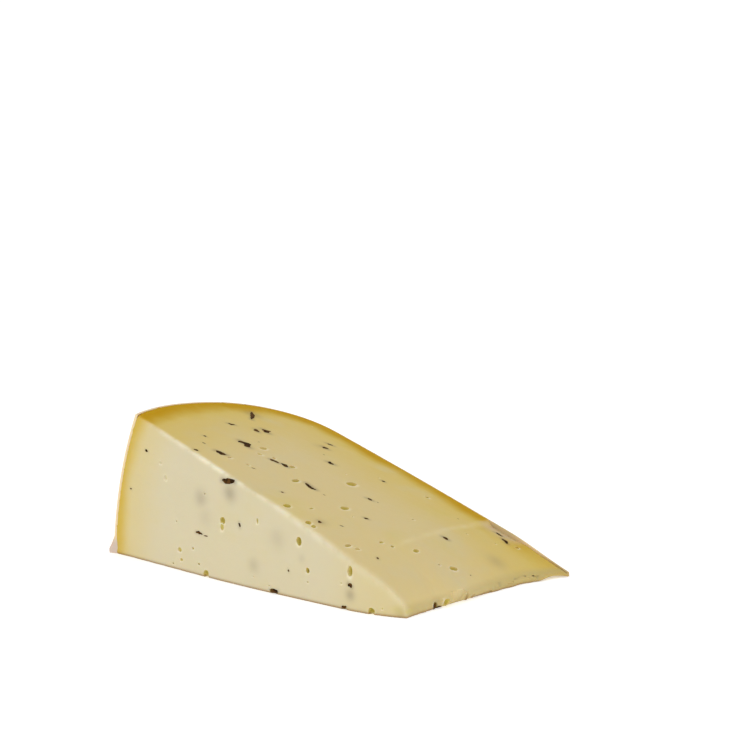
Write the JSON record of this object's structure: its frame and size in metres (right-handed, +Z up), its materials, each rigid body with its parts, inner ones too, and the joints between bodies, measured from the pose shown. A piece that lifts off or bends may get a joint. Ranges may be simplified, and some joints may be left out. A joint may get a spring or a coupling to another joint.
{
  "type": "cheese wedge",
  "caption": "Hand-cut wedge of semi-hard cheese with herb flecks and small eyes, coated on its rim and flat face, lying on a radial cut.",
  "frame": {"origin": "middle of the bounding box, on the surface that the wedge lies on", "axes": "+X towards the thin edge (the rim is at -X), -Y out of the cut across the wheel, +Y out of the wheel's coated flat face, +Z up"},
  "size_m": [0.1268, 0.076, 0.0453],
  "materials": {
    "paste": "pale cream-yellow semi-hard cheese, smooth knife-cut satin, deep ochre towards the rind",
    "rind_coat": "thin tan coating, satin"
  },
  "bodies": {
    "root": {"paste": "paste", "rind_coat": "rind_coat"}
  },
  "joints": []
}
